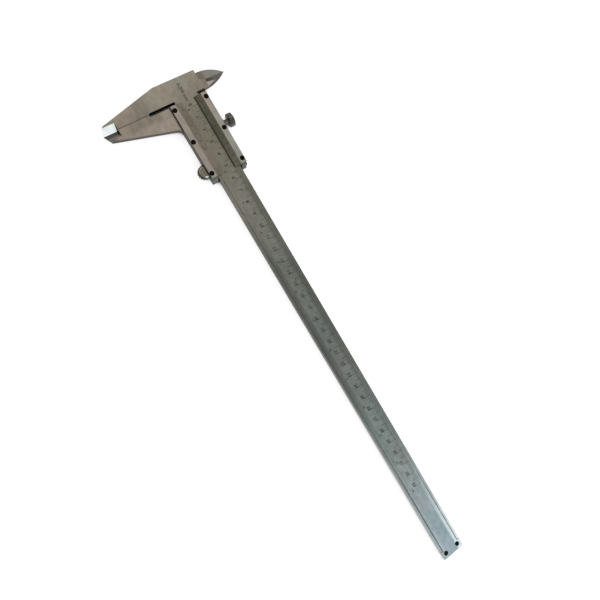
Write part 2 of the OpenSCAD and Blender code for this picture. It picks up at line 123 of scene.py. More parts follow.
def blend(tree, factor, first, second, kind="RGBA", way="MIX"):
    """Goes from the first colour or number to the second as the factor goes from 0 to 1."""
    node = tree.nodes.new("ShaderNodeMix")
    node.data_type = kind
    node.blend_type = way
    feed(tree, node.inputs["Factor"], factor)
    feed(tree, node.inputs["A"], first)
    feed(tree, node.inputs["B"], second)
    return node.outputs["Result"]


def tinted(tree, colour, tint):
    """A colour multiplied by a tint."""
    return blend(tree, 1.0, colour, tint, way="MULTIPLY")


def axes(tree, vector):
    """The three parts of a vector."""
    node = tree.nodes.new("ShaderNodeSeparateXYZ")
    feed(tree, node.inputs[0], vector)
    return node.outputs["X"], node.outputs["Y"], node.outputs["Z"]


def clear_selection():
    """Deselects every object, because an operator acts on all that is selected."""
    bpy.ops.object.select_all(action="DESELECT")


print("helpers ready")


# %% [markdown]
# ## The floor
# The caliper lies on a plain white table. Lamps strong enough to burn a matt floor to white would also burn
# the steel, so the floor adds a little glow of its own, which only the camera and mirror-like rays see. The
# glow fades where the caliper covers the floor closely, a painted contact shade: the slot between the jaws
# stays as dark as it should.

# %% Floor
FLOOR_SIZE = 40.0
FLOOR_MIDDLE = (0.15, 0.0, 0.0)
FLOOR_GREY = (0.43, 0.43, 0.43)
FLOOR_GLOW = 0.76
COVER_REACH_MM = 30.0
COVER_RANGE = (0.18, 0.36)

clear_selection()
bpy.ops.mesh.primitive_plane_add(size=FLOOR_SIZE, location=FLOOR_MIDDLE)
floor = bpy.context.object
floor.name = "floor"
bpy.ops.object.transform_apply(location=True)
floor_paint = bpy.data.materials.new("floor_paint")
tree = fresh_tree(floor_paint)
floor_matt = tree.nodes.new("ShaderNodeBsdfDiffuse")
feed(tree, floor_matt.inputs["Color"], FLOOR_GREY)
rays = tree.nodes.new("ShaderNodeLightPath").outputs
floor_seen = sum_node(tree, "MAXIMUM", rays["Is Camera Ray"], rays["Is Glossy Ray"])
floor_seen = sum_node(tree, "MAXIMUM", floor_seen, rays["Is Transmission Ray"])
# Painted contact shade: the glow fades where the caliper covers the floor closely
floor_cover = tree.nodes.new("ShaderNodeAmbientOcclusion")
feed(tree, floor_cover.inputs["Distance"], COVER_REACH_MM * MM)
glow_outside_painted_shade = spread(tree, floor_cover.outputs["AO"], *COVER_RANGE, 0.0, FLOOR_GLOW)
floor_glow = tree.nodes.new("ShaderNodeEmission")
feed(tree, floor_glow.inputs["Strength"], sum_node(tree, "MULTIPLY", floor_seen, glow_outside_painted_shade))
floor_sum = tree.nodes.new("ShaderNodeAddShader")
feed(tree, floor_sum.inputs[0], floor_matt.outputs[0])
feed(tree, floor_sum.inputs[1], floor_glow.outputs[0])
floor_out = tree.nodes.new("ShaderNodeOutputMaterial")
feed(tree, floor_out.inputs["Surface"], floor_sum.outputs[0])
floor.data.materials.append(floor_paint)
print("floor:", FLOOR_SIZE, "m square")


# %% [markdown]
# ## The light
# Steel has little colour of its own: it shows the room. The walls and the horizon are white, so the steel
# stays pale from every side. The ceiling is dim and warm on the camera's side, brighter beyond the caliper
# and cooler towards the tail, so that the bevels, which look elsewhere than the flat faces, turn darker by
# themselves. A warm panel over the jaws gives the flat faces their tone, and a cool and brighter one beyond
# the tail makes the beam grow brighter towards its end and lights the facet at the tip.

# %% Room
NEAR_CEILING = 0.23
FAR_CEILING = (0.60, 0.83)
HORIZON = 1.0
WHITE = (1.0, 1.0, 1.0)
NEAR_COLOUR = (1.0, 0.94, 0.80)
JAW_SIDE_COLOUR = (1.0, 0.945, 0.84)
TAIL_SIDE_COLOUR = (0.88, 1.0, 1.0)
# Each range says where on the unit sphere of directions a change starts and where it ends
STRENGTH_RISE = (0.50, 0.88)
COLOUR_RISE = (0.45, 0.75)
NEAR_TO_FAR = (-0.20, 0.22)
NEAR_COLOUR_END = (-0.25, 0.0)
FAR_BRIGHTER = (0.02, 0.30)
WARM_TO_COOL = (-0.25, 0.30)

room = bpy.data.worlds.new("room")
scene.world = room
tree = fresh_tree(room)
tailward, jawward, upward = axes(tree, tree.nodes.new("ShaderNodeTexCoord").outputs["Generated"])
far_ceiling = spread(tree, tailward, *FAR_BRIGHTER, *FAR_CEILING)
ceiling = spread(tree, jawward, *NEAR_TO_FAR, NEAR_CEILING, far_ceiling)
ceiling_colour = blend(tree, spread(tree, tailward, *WARM_TO_COOL), JAW_SIDE_COLOUR, TAIL_SIDE_COLOUR)
ceiling_colour = blend(tree, spread(tree, jawward, *NEAR_COLOUR_END), NEAR_COLOUR, ceiling_colour)
room_colour = blend(tree, spread(tree, upward, *COLOUR_RISE), WHITE, ceiling_colour)
room_strength = blend(tree, spread(tree, upward, *STRENGTH_RISE), HORIZON, ceiling, "FLOAT")
room_light = tree.nodes.new("ShaderNodeBackground")
feed(tree, room_light.inputs["Color"], room_colour)
feed(tree, room_light.inputs["Strength"], room_strength)
room_out = tree.nodes.new("ShaderNodeOutputWorld")
feed(tree, room_out.inputs["Surface"], room_light.outputs[0])
print("room:", NEAR_CEILING, "and", FAR_CEILING, "above,", HORIZON, "at the horizon")

# %% Lamps
PANEL_HEIGHT = 1.37


def add_panel(name, middle, size, radiance, colour):
    """A soft light panel that faces down from the ceiling; its power follows from its glow."""
    panel_data = bpy.data.lights.new(name, "AREA")
    panel_data.shape = "RECTANGLE"
    panel_data.size, panel_data.size_y = size
    panel_data.energy = radiance * math.pi * size[0] * size[1]
    panel_data.color = colour
    panel = bpy.data.objects.new(name, panel_data)
    panel.location = (*middle, PANEL_HEIGHT)
    scene.collection.objects.link(panel)


add_panel("warm_panel", middle=(-0.51, 0.46), size=(1.18, 1.10), radiance=0.70, colour=(1.0, 0.94, 0.84))
add_panel("cool_panel", middle=(1.637, 0.35), size=(1.046, 1.30), radiance=3.8, colour=(0.71, 0.90, 1.02))


# %% [markdown]
# ## Shared effects for steel
# The same few things happen to every steel part: grinding leaves fine lines along the part, hands leave
# clouds and stains, use leaves stray scratches and worn edges, which carry a painted highlight, and corners
# keep a little grime, darkened further with painted shade. Each effect could be copied into each material,
# but a node group with named inputs is built once and tuned per material.

# %% Node group helper
def new_group(name, inputs, output):
    """A shader node group with named inputs and one number as its output."""
    group = bpy.data.node_groups.new(name, "ShaderNodeTree")
    for label, kind, value in inputs:
        socket = group.interface.new_socket(label, in_out="INPUT", socket_type=kind)
        if value is not None:
            socket.default_value = value
    group.interface.new_socket(output, in_out="OUTPUT", socket_type="NodeSocketFloat")
    entry = group.nodes.new("NodeGroupInput").outputs
    leave = group.nodes.new("NodeGroupOutput").inputs
    return group, entry, leave


def use_group(tree, group, **values):
    """Places a group in a tree, feeds its inputs and gives its output."""
    node = tree.nodes.new("ShaderNodeGroup")
    node.node_tree = group
    for label, value in values.items():
        feed(tree, node.inputs[label], value)
    return node.outputs[0]


def noise(tree, vector, scale, detail, rough=0.55):
    """A noise texture's grey value."""
    node = tree.nodes.new("ShaderNodeTexNoise")
    feed(tree, node.inputs["Vector"], vector)
    feed(tree, node.inputs["Scale"], scale)
    feed(tree, node.inputs["Detail"], detail)
    feed(tree, node.inputs["Roughness"], rough)
    return node.outputs["Fac"]


def stretched(tree, vector, stretch):
    """A vector multiplied axis by axis."""
    node = tree.nodes.new("ShaderNodeVectorMath")
    node.operation = "MULTIPLY"
    feed(tree, node.inputs[0], vector)
    feed(tree, node.inputs[1], stretch)
    return node.outputs[0]


print("group helpers ready")

# %% Ground lines and handling clouds
ALONG_BEAM = (70.0, 4200.0, 4200.0)
CLOUD_SIZE = 60.0
CLOUD_RANGE = (0.36, 0.66)

ground_lines, entry, leave = new_group(
    "ground_lines",
    [("Vector", "NodeSocketVector", None), ("Stretch", "NodeSocketVector", ALONG_BEAM)],
    "Lines",
)
line_place = stretched(ground_lines, entry["Vector"], entry["Stretch"])
feed(ground_lines, leave["Lines"], noise(ground_lines, line_place, scale=1.0, detail=3.0, rough=0.6))

handling_clouds, entry, leave = new_group(
    "handling_clouds",
    [("Vector", "NodeSocketVector", None), ("Size", "NodeSocketFloat", CLOUD_SIZE)],
    "Clouds",
)
cloud_noise = noise(handling_clouds, entry["Vector"], entry["Size"], detail=4.0)
feed(handling_clouds, leave["Clouds"], spread(handling_clouds, cloud_noise, *CLOUD_RANGE))
print("groups:", ground_lines.name, handling_clouds.name)

# %% Stray scratches
SCRATCH_TURN = (0.0, 0.0, 0.5)
SCRATCH_STRETCH = (55.0, 1900.0, 1900.0)
SCRATCH_RANGE = (0.68, 0.78)

stray_scratches, entry, leave = new_group(
    "stray_scratches",
    [("Vector", "NodeSocketVector", None), ("Turn", "NodeSocketVector", SCRATCH_TURN)],
    "Scratches",
)
scratch_turn = stray_scratches.nodes.new("ShaderNodeMapping")
feed(stray_scratches, scratch_turn.inputs["Vector"], entry["Vector"])
feed(stray_scratches, scratch_turn.inputs["Rotation"], entry["Turn"])
scratch_place = stretched(stray_scratches, scratch_turn.outputs[0], SCRATCH_STRETCH)
scratch_noise = noise(stray_scratches, scratch_place, scale=1.0, detail=1.0)
feed(stray_scratches, leave["Scratches"], spread(stray_scratches, scratch_noise, *SCRATCH_RANGE))
print("group:", stray_scratches.name)

# %% Edges and corners
WEAR_AND_HIGHLIGHT_MM = 0.2
GRIME_AND_SHADE_MM = 0.8
EFFECT_SAMPLES = 6
EDGE_RANGE = (0.995, 0.90)
CORNER_RANGE = (0.95, 0.35)

# Nearness to an edge: with a small radius it lays worn edges that carry a painted highlight, with a large one
# the dark borders of flat faces
edge_nearness, entry, leave = new_group("edge_nearness", [("Radius", "NodeSocketFloat", WEAR_AND_HIGHLIGHT_MM * MM)], "Nearness")
round_edge = edge_nearness.nodes.new("ShaderNodeBevel")
round_edge.samples = EFFECT_SAMPLES
feed(edge_nearness, round_edge.inputs["Radius"], entry["Radius"])
true_face = edge_nearness.nodes.new("ShaderNodeNewGeometry")
same_way = edge_nearness.nodes.new("ShaderNodeVectorMath")
same_way.operation = "DOT_PRODUCT"
feed(edge_nearness, same_way.inputs[0], round_edge.outputs["Normal"])
feed(edge_nearness, same_way.inputs[1], true_face.outputs["True Normal"])
feed(edge_nearness, leave["Nearness"], spread(edge_nearness, same_way.outputs["Value"], *EDGE_RANGE))

# Grime with painted shade: corners and creases are darkened where the part itself shuts out the room
corner_grime_and_shade, entry, leave = new_group("corner_grime_and_shade", [("Reach", "NodeSocketFloat", GRIME_AND_SHADE_MM * MM)], "Grime and shade")
cover = corner_grime_and_shade.nodes.new("ShaderNodeAmbientOcclusion")
cover.only_local = True
cover.samples = EFFECT_SAMPLES
feed(corner_grime_and_shade, cover.inputs["Distance"], entry["Reach"])
feed(corner_grime_and_shade, leave["Grime and shade"], spread(corner_grime_and_shade, cover.outputs["AO"], *CORNER_RANGE))
print("groups:", edge_nearness.name, corner_grime_and_shade.name)


# %% [markdown]
# ## Places on a part
# The parts were ground bright, then each place aged in its own way, and some places carry painted light and
# shade. A place could be painted by hand or cut out of the mesh, but a mask made of ramps needs neither: each
# ramp reads where a point lies on the part or which way its face looks, and goes from nothing at its first
# number to full at its second. The ramps of a place are multiplied. They read the part itself, so the mask
# travels with the part.

# %% Places made of ramps
PLACE_READINGS = ("along", "across", "height")
FACE_READINGS = ("lean_x", "lean_y", "lean_z")
UNSIGNED_READINGS = {"from_seam": "along", "from_centre": "across", "flatness": "lean_z"}
DISTANCES = {}


def where(*wider, **ramps):
    """A place: one ramp or more for each reading, inside of wider places. Lengths are in millimetres."""
    rows = [row for place_rows in wider for row in place_rows]
    for name, limits in ramps.items():
        several = limits if isinstance(limits, list) else [limits]
        rows += [(name, one) for one in several]
    return rows


def reading(tree, place, normal, name):
    """What a ramp goes by, and its unit."""
    if name in PLACE_READINGS:
        return axes(tree, place)[PLACE_READINGS.index(name)], MM
    if name in FACE_READINGS:
        return axes(tree, normal)[FACE_READINGS.index(name)], 1.0
    if name in UNSIGNED_READINGS:
        value, unit = reading(tree, place, normal, UNSIGNED_READINGS[name])
        return sum_node(tree, "ABSOLUTE", value), unit
    return DISTANCES[name](tree, place), MM


def mask_of(tree, place, normal, rows):
    """The ramps of a place, and its strength if it has one, multiplied."""
    ramps = []
    for name, limits in rows:
        if name == "strength":
            ramps.append(limits)
        else:
            value, unit = reading(tree, place, normal, name)
            ramps.append(spread(tree, value, limits[0] * unit, limits[1] * unit))
    mask = ramps[0]
    for ramp in ramps[1:]:
        mask = sum_node(tree, "MULTIPLY", mask, ramp)
    return mask


print("readings:", PLACE_READINGS + FACE_READINGS + tuple(UNSIGNED_READINGS))


# %% [markdown]
# ## Steel finishes
# One recipe covers all the steel: a face tone, and a list of zones, each a place with its own tone, laid one
# over the other; some of these tones are painted light and shade. From the shared effects, the stains, the
# tints, the worn edges with their painted highlight and the grime with its painted shade come on top. A tone
# holds the bright colour, the stained colour and the range of roughness.

# %% Tints that hands leave
GREEN_STAIN = (0.91, 0.970, 0.915)
RUST_STAIN = (1.115, 0.990, 0.96)
PALE_BLOT = (1.06, 1.06, 1.06)
DARK_BLOT = (0.89, 0.885, 0.875)
DRAWN_OUT = (0.7, 1.0, 1.0)
HUE_SIZE = CLOUD_SIZE * 0.9
BLOT_SIZE = CLOUD_SIZE * 5.0
LESS_RUST_MM = (0.0, 45.0)
RUST_AWAY_FROM_HEAD = 0.5
JAW_RUST_MM = (-18.0, -45.0)
JAW_RUST = 0.75


def hand_tints(tree, place, colour):
    """Rust and green stains in clouds, more rust on the jaws, and small pale and dark blots."""
    along, across = axes(tree, place)[:2]
    drawn_out = stretched(tree, place, DRAWN_OUT)
    hue = use_group(tree, handling_clouds, Vector=drawn_out, Size=HUE_SIZE)
    fade = spread(tree, along, *[limit * MM for limit in LESS_RUST_MM], 1.0, RUST_AWAY_FROM_HEAD)
    jaws = spread(tree, across, *[limit * MM for limit in JAW_RUST_MM], 0.0, JAW_RUST)
    hue = sum_node(tree, "MAXIMUM", sum_node(tree, "MULTIPLY", hue, fade), jaws)
    blots = use_group(tree, handling_clouds, Vector=drawn_out, Size=BLOT_SIZE)
    colour = tinted(tree, colour, blend(tree, hue, GREEN_STAIN, RUST_STAIN))
    return tinted(tree, colour, blend(tree, blots, PALE_BLOT, DARK_BLOT))


print("tints:", GREEN_STAIN, "to", RUST_STAIN)

# %% Last nodes of a finish
BUMP_HEIGHT_MM = 0.03


def finish_tree(tree, colour, rough, height, metal, bump_strength, shine=0.5):
    """Closes a material's tree with its bump and its shader."""
    bump = tree.nodes.new("ShaderNodeBump")
    feed(tree, bump.inputs["Strength"], bump_strength)
    feed(tree, bump.inputs["Distance"], BUMP_HEIGHT_MM * MM)
    feed(tree, bump.inputs["Height"], height)
    shader = tree.nodes.new("ShaderNodeBsdfPrincipled")
    feed(tree, shader.inputs["Metallic"], metal)
    feed(tree, shader.inputs["Specular IOR Level"], shine)
    feed(tree, shader.inputs["Base Color"], colour)
    feed(tree, shader.inputs["Roughness"], rough)
    feed(tree, shader.inputs["Normal"], bump.outputs[0])
    out = tree.nodes.new("ShaderNodeOutputMaterial")
    feed(tree, out.inputs["Surface"], shader.outputs[0])


def over(tree, mask, share, colour, tone):
    """Lays a tone over a colour, as much as a share of the mask."""
    return blend(tree, sum_node(tree, "MULTIPLY", mask, share), colour, tone)


print("bump height:", BUMP_HEIGHT_MM, "mm")

# %% Recipe for ground steel
STAIN_FROM_LINES = 0.6
STAIN_FROM_CLOUDS = 0.55
STAIN_LESS = 0.2
LINE_RANGE = (0.2, 0.8)
FLAT_FACES = where(lean_z=(0.94, 0.98))
BORDER_MM = 0.7
WORN_AND_HIGHLIGHT_TONE = (0.42, 0.41, 0.40)
BORDER_TONE = (0.070, 0.066, 0.060)
GRIME_AND_SHADE_TONE = (0.035, 0.030, 0.025)
OIL_TONE = (0.006, 0.005, 0.004)
SCRATCH_SHARE = 0.18
BORDER_SHARE = 0.60
WEAR_AND_HIGHLIGHT_SHARE = 0.20
GRIME_AND_SHADE_SHARE = 0.75
STEEL_BUMP = 0.12


def steel_finish(name, face, zones, dirt, grime_and_shade_mm=GRIME_AND_SHADE_MM):
    """Ground steel: a face tone, zones with their tones, and places black with old oil."""
    finish = bpy.data.materials.new(name)
    tree = fresh_tree(finish)
    spot = tree.nodes.new("ShaderNodeTexCoord")
    place, normal = spot.outputs["Object"], spot.outputs["Normal"]
    lines = use_group(tree, ground_lines, Vector=place, Stretch=ALONG_BEAM)
    clouds = use_group(tree, handling_clouds, Vector=place, Size=CLOUD_SIZE)
    scratches = use_group(tree, stray_scratches, Vector=place)
    stain = sum_node(tree, "ADD", sum_node(tree, "MULTIPLY", lines, STAIN_FROM_LINES),
                     sum_node(tree, "MULTIPLY", clouds, STAIN_FROM_CLOUDS))
    stain = sum_node(tree, "SUBTRACT", stain, STAIN_LESS, clamp=True)
    bright, stained, rough_range = face
    colour = blend(tree, stain, bright, stained)
    rough = spread(tree, lines, *LINE_RANGE, *rough_range)
    for zone, (bright, stained, rough_range) in zones:
        inside = mask_of(tree, place, normal, zone)
        colour = blend(tree, inside, colour, blend(tree, stain, bright, stained))
        rough = blend(tree, inside, rough, spread(tree, lines, *LINE_RANGE, *rough_range), "FLOAT")
    colour = hand_tints(tree, place, colour)
    border = sum_node(tree, "MULTIPLY", use_group(tree, edge_nearness, Radius=BORDER_MM * MM),
                      mask_of(tree, place, normal, FLAT_FACES))
    # Worn edges that carry a painted highlight, and grime with painted shade in the corners
    wear_and_highlight = use_group(tree, edge_nearness, Radius=WEAR_AND_HIGHLIGHT_MM * MM)
    grime_and_shade = use_group(tree, corner_grime_and_shade, Reach=grime_and_shade_mm * MM)
    colour = over(tree, scratches, SCRATCH_SHARE, colour, WORN_AND_HIGHLIGHT_TONE)
    colour = over(tree, border, BORDER_SHARE, colour, BORDER_TONE)
    colour = over(tree, wear_and_highlight, WEAR_AND_HIGHLIGHT_SHARE, colour, WORN_AND_HIGHLIGHT_TONE)
    colour = over(tree, grime_and_shade, GRIME_AND_SHADE_SHARE, colour, GRIME_AND_SHADE_TONE)
    for oily in dirt:
        colour = blend(tree, mask_of(tree, place, normal, oily), colour, OIL_TONE)
    height = sum_node(tree, "SUBTRACT", lines, scratches)
    finish_tree(tree, colour, rough, height, metal=1.0, bump_strength=STEEL_BUMP)
    return finish


print("steel recipe ready")


# %% [markdown]
# ## Old oil
# Oil creeps out of every gap and turns black: in a ring around each screw and along the borders of the slot
# between the outside jaws. Rings could be modelled as thin pieces, but a distance to the gap, worked out in
# the material, gives a soft border for nothing.

# %% Distances to the screws and to the slot
plate_screws_low, plate_screws_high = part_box("upper_plate_screws")
tail_screws_low, tail_screws_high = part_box("end_stop_screws")
SCREW_RADIUS = (plate_screws_high.y - plate_screws_low.y) / 2
SLOT_MIDDLE_MM = 0.325
SLOT_HALF_MM = 1.025
SLOT_END_MM = -28.975


def distance(tree, first, second, radius):
    """The way from a circle, given the two parts of the way from its middle."""
    square = sum_node(tree, "ADD", sum_node(tree, "MULTIPLY", first, first),
                      sum_node(tree, "MULTIPLY", second, second))
    return sum_node(tree, "SUBTRACT", sum_node(tree, "SQRT", square), radius)


def from_plate_screws(tree, place):
    """The way from the nearest of a plate's three screws, which stand at an even pitch."""
    along, across = axes(tree, place)[:2]
    pitch = (plate_screws_high.x - plate_screws_low.x) / 2 - SCREW_RADIUS
    from_first = sum_node(tree, "SUBTRACT", along, plate_screws_low.x + SCREW_RADIUS - pitch / 2)
    along_away = sum_node(tree, "SUBTRACT", sum_node(tree, "MODULO", from_first, pitch), pitch / 2)
    side = plate_screws_low.y + SCREW_RADIUS
    across_away = sum_node(tree, "SUBTRACT", sum_node(tree, "ABSOLUTE", across), side)
    return distance(tree, along_away, across_away, SCREW_RADIUS)


def from_tail_screws(tree, place):
    """The way from the nearer of the two screws of the tail."""
    along, across = axes(tree, place)[:2]
    along_away = sum_node(tree, "SUBTRACT", along, tail_screws_low.x + SCREW_RADIUS)
    side = tail_screws_high.y - SCREW_RADIUS
    across_away = sum_node(tree, "SUBTRACT", sum_node(tree, "ABSOLUTE", across), side)
    return distance(tree, along_away, across_away, SCREW_RADIUS)


def from_slot(tree, place):
    """The way from the slot between the outside jaws, which has one round end."""
    along, across = axes(tree, place)[:2]
    sideways = sum_node(tree, "SUBTRACT", along, SLOT_MIDDLE_MM * MM)
    past_end = sum_node(tree, "MAXIMUM", sum_node(tree, "SUBTRACT", SLOT_END_MM * MM, across), 0.0)
    return distance(tree, sideways, past_end, SLOT_HALF_MM * MM)


DISTANCES.update(from_plate_screws=from_plate_screws, from_tail_screws=from_tail_screws, from_slot=from_slot)
OIL_RING_MM = (0.40, 0.22)
PLATE_SCREW_RINGS = where(from_plate_screws=OIL_RING_MM)
TAIL_SCREW_RINGS = where(from_tail_screws=OIL_RING_MM)
SLOT_BORDERS = where(from_slot=(0.42, 0.18), across=(-9.4, -9.6))
print("screw radius:", round(SCREW_RADIUS / MM, 2), "mm")


# %% [markdown]
# ## Where the steel changes
# The head and the jaws are wiped by hands and turned brown. The graduated face went dull, the strips beside
# it stayed smooth, and the tail, which no hand holds, is clean and bluish. The thumb rest and the lower plate
# are stained by the thumb, and the bevels of the tips and the meeting faces are ground bright. Painted shade
# darkens the thin side walls, the slot, the shoulder, the root of the moving blade, the moving tip's bevels,
# the thumb rest's slope, the lower plate's slope and one facet of the fixed blade; painted light brightens
# the other facet, the far side walls, the upper plate's slope and its end, the rear ends of the plates and
# the rim of the thumb rest. The later zones of a list lie over the earlier ones.

# %% Places and tones that several parts share
# Side walls, and the wall of the slide below the thumb, both darkened with painted shade by their tones
UPRIGHT = where(flatness=(0.35, 0.15))
LOWER_WALL = where(lean_y=(-0.6, -0.8), across=(-15.6, -15.2))
# The outside jaws: facets of the tips, lapped faces, dirt in their seam, and the slot walls in painted shade
KNIFE_BEVELS = where(lean_z=[(0.35, 0.45), (0.95, 0.90)])
MEASURING_FACES = where(UPRIGHT, from_seam=(0.06, 0.03))
JAW_SEAM = where(from_seam=(0.42, 0.15), across=(-29.5, -30.5), lean_z=(0.95, 0.99), strength=0.8)
SLOT_WALLS = where(UPRIGHT, from_seam=(1.6, 1.45), across=(-31.0, -29.8))
# The crossed blades past the shoulder of the head, their ends ground again, and their chamfered round edges,
# which take the painted shade of the side walls
INSIDE_BLADES = where(across=(15.0, 16.5))
BLADE_TIPS = where(across=(20.0, 25.0))
BLADE_RIM = where(INSIDE_BLADES, lean_z=(0.85, 0.78))

JAW_TONE = ((0.290, 0.275, 0.258), (0.226, 0.213, 0.198), (0.28, 0.40))
PALM_TONE = ((0.216, 0.204, 0.191), (0.168, 0.158, 0.146), (0.30, 0.42))
BLADE_TONE = ((0.195, 0.191, 0.182), (0.150, 0.147, 0.140), (0.22, 0.32))
TIP_TONE = ((0.182, 0.196, 0.204), (0.142, 0.153, 0.160), (0.18, 0.28))
WALL_SHADE_TONE = ((0.13, 0.125, 0.118), (0.085, 0.080, 0.075), (0.38, 0.52))
LAPPED_TONE = ((0.52, 0.51, 0.50), (0.46, 0.45, 0.44), (0.10, 0.16))
SEAM_TONE = ((0.07, 0.060, 0.050), (0.05, 0.043, 0.036), (0.45, 0.55))
GAP_SHADE_TONE = ((0.014, 0.012, 0.010), (0.008, 0.007, 0.006), (0.6, 0.7))
LOWER_WALL_SHADE_TONE = ((0.050, 0.044, 0.039), (0.032, 0.028, 0.025), (0.40, 0.55))
print("shared tones ready")

# %% Places on the beam
# The head between the jaws, and a soft dark band across the fixed jaw
HEAD_SQUARE = where(across=(-16, -6))
PALM_STAIN = where(across=[(-45, -37), (-23, -31)], strength=0.9)
# The length of the beam: past the head, past the reach of oily hands, and the tail
PAST_THE_HEAD = where(along=(-12, 12))
CLEAN_LENGTH = where(along=(45, 85))
TAIL_LENGTH = where(along=(325, 375))
# The strips on both sides of the scales, with the part where fingers rest just past the slide
SMOOTH_STRIP = where(PAST_THE_HEAD, across=(4.2, 5.6))
DULL_STRIP = where(across=(-4.0, -5.6))
STAINED_STRIP = where(SMOOTH_STRIP, along=[(40, 70), (135, 100)])
FADED_STRIP = where(DULL_STRIP, along=[(95, 135), (320, 240)])
FAR_STRIP = where(SMOOTH_STRIP, along=(160, 310))
TAIL_SMOOTH_STRIP = where(SMOOTH_STRIP, TAIL_LENGTH)
TAIL_DULL_STRIP = where(DULL_STRIP, TAIL_LENGTH)
# Side walls of the far half, lightened with a painted reflection, and dirt in the steps that the slide never
# wipes
FAR_WALL = where(UPRIGHT, along=(170, 330))
LAND_LINES = where(from_centre=[(6.95, 7.35), (8.05, 7.65)], along=[(300, 345), (393, 392)], strength=0.85)
# Painted shade at the shoulder where the upper plate stops, and the facets of the fixed blade: the back one
# brightened with a painted highlight, the front one darkened with painted shade, darker still towards its
# root
SHOULDER_GAP = where(along=[(-1.3, -0.7), (0.4, 0.2)], across=[(8.6, 9.4), (16.2, 15.0)])
BLADE_BACK = where(INSIDE_BLADES, lean_x=[(0.06, 0.10), (0.40, 0.30)])
BLADE_FRONT = where(INSIDE_BLADES, lean_x=(-0.10, -0.20))
BLADE_FRONT_ROOT = where(BLADE_FRONT, across=(27.0, 22.5))
print("smooth strip of the beam:", SMOOTH_STRIP)

# %% Steel of the beam
HEAD_TONE = ((0.256, 0.240, 0.222), (0.200, 0.186, 0.170), (0.28, 0.40))
DULL_TONE = ((0.190, 0.183, 0.163), (0.148, 0.143, 0.127), (0.30, 0.42))
CLEAN_TONE = ((0.218, 0.216, 0.210), (0.170, 0.169, 0.164), (0.35, 0.47))
SMOOTH_TONE = ((0.172, 0.173, 0.167), (0.137, 0.138, 0.133), (0.19, 0.26))
STAINED_TONE = ((0.132, 0.132, 0.124), (0.102, 0.101, 0.094), (0.24, 0.32))
FADED_TONE = ((0.158, 0.155, 0.150), (0.124, 0.122, 0.117), (0.30, 0.42))
FAR_TONE = ((0.245, 0.246, 0.240), (0.200, 0.201, 0.196), (0.20, 0.28))
TAIL_TONE = ((0.207, 0.214, 0.229), (0.162, 0.167, 0.179), (0.35, 0.47))
TAIL_SMOOTH_TONE = ((0.282, 0.257, 0.262), (0.230, 0.210, 0.214), (0.20, 0.28))
TAIL_DULL_TONE = ((0.250, 0.246, 0.253), (0.196, 0.193, 0.198), (0.35, 0.47))
FAR_WALL_REFLECTION_TONE = ((0.46, 0.465, 0.47), (0.38, 0.385, 0.39), (0.30, 0.42))
BEVEL_TONE = ((0.262, 0.254, 0.240), (0.224, 0.217, 0.204), (0.18, 0.24))
BACK_HIGHLIGHT_TONE = ((0.330, 0.345, 0.355), (0.272, 0.284, 0.290), (0.20, 0.28))
FRONT_SHADE_TONE = ((0.137, 0.134, 0.128), (0.106, 0.103, 0.098), (0.22, 0.32))
FRONT_ROOT_SHADE_TONE = ((0.078, 0.076, 0.072), (0.060, 0.058, 0.055), (0.24, 0.34))
BEAM_GRIME_AND_SHADE_MM = 0.4

beam_steel = steel_finish("beam_steel", JAW_TONE, [
    (HEAD_SQUARE, HEAD_TONE),
    (PALM_STAIN, PALM_TONE),
    (PAST_THE_HEAD, DULL_TONE),
    (CLEAN_LENGTH, CLEAN_TONE),
    (SMOOTH_STRIP, SMOOTH_TONE),
    (STAINED_STRIP, STAINED_TONE),
    (FADED_STRIP, FADED_TONE),
    (FAR_STRIP, FAR_TONE),
    (TAIL_LENGTH, TAIL_TONE),
    (TAIL_SMOOTH_STRIP, TAIL_SMOOTH_TONE),
    (TAIL_DULL_STRIP, TAIL_DULL_TONE),
    (LAND_LINES, SEAM_TONE),
    (KNIFE_BEVELS, BEVEL_TONE),
    (INSIDE_BLADES, BLADE_TONE),
    (BLADE_TIPS, TIP_TONE),
    (BLADE_BACK, BACK_HIGHLIGHT_TONE),
    (BLADE_FRONT, FRONT_SHADE_TONE),
    (BLADE_FRONT_ROOT, FRONT_ROOT_SHADE_TONE),
    (SHOULDER_GAP, GAP_SHADE_TONE),
    (BLADE_RIM, WALL_SHADE_TONE),
    (JAW_SEAM, SEAM_TONE),
    (UPRIGHT, WALL_SHADE_TONE),
    (FAR_WALL, FAR_WALL_REFLECTION_TONE),
    (MEASURING_FACES, LAPPED_TONE),
    (SLOT_WALLS, GAP_SHADE_TONE),
], dirt=[TAIL_SCREW_RINGS, SLOT_BORDERS], grime_and_shade_mm=BEAM_GRIME_AND_SHADE_MM)
print("steel:", beam_steel.name)

# %% Steel of the slide
# Stains on the moving jaw, beside the seam and on the tip, and painted shade at the root of its blade
SEAM_STAIN = where(across=[(-50, -45), (-20, -25)], along=(9.5, 5.0), strength=0.9)
TIP_STAIN = where(across=(-57, -61), along=(2.0, 4.0))
BLADE_ROOT = where(INSIDE_BLADES, across=(22.0, 19.5))
# Open faces behind the plates; the thumb rest with its slope in painted shade and a painted highlight on its
# rim; the chamfer beside it
SLIDE_REAR = where(along=(42, 47), lean_z=(0.1, 0.3))
THUMB_FACE = where(along=(44, 46), across=(-14.95, -15.2))
THUMB_EDGE = where(lean_z=[(0.97, 0.93), (0.5, 0.6)], along=(40, 42), across=(-14.0, -14.6))
THUMB_RIM_HIGHLIGHT = where(THUMB_EDGE, height=(7.00, 7.12))
REAR_CHAMFER = where(lean_x=(0.4, 0.6), lean_z=(0.3, 0.5), across=(1, -1))

TIP_STAIN_TONE = ((0.140, 0.137, 0.132), (0.106, 0.104, 0.100), (0.30, 0.42))
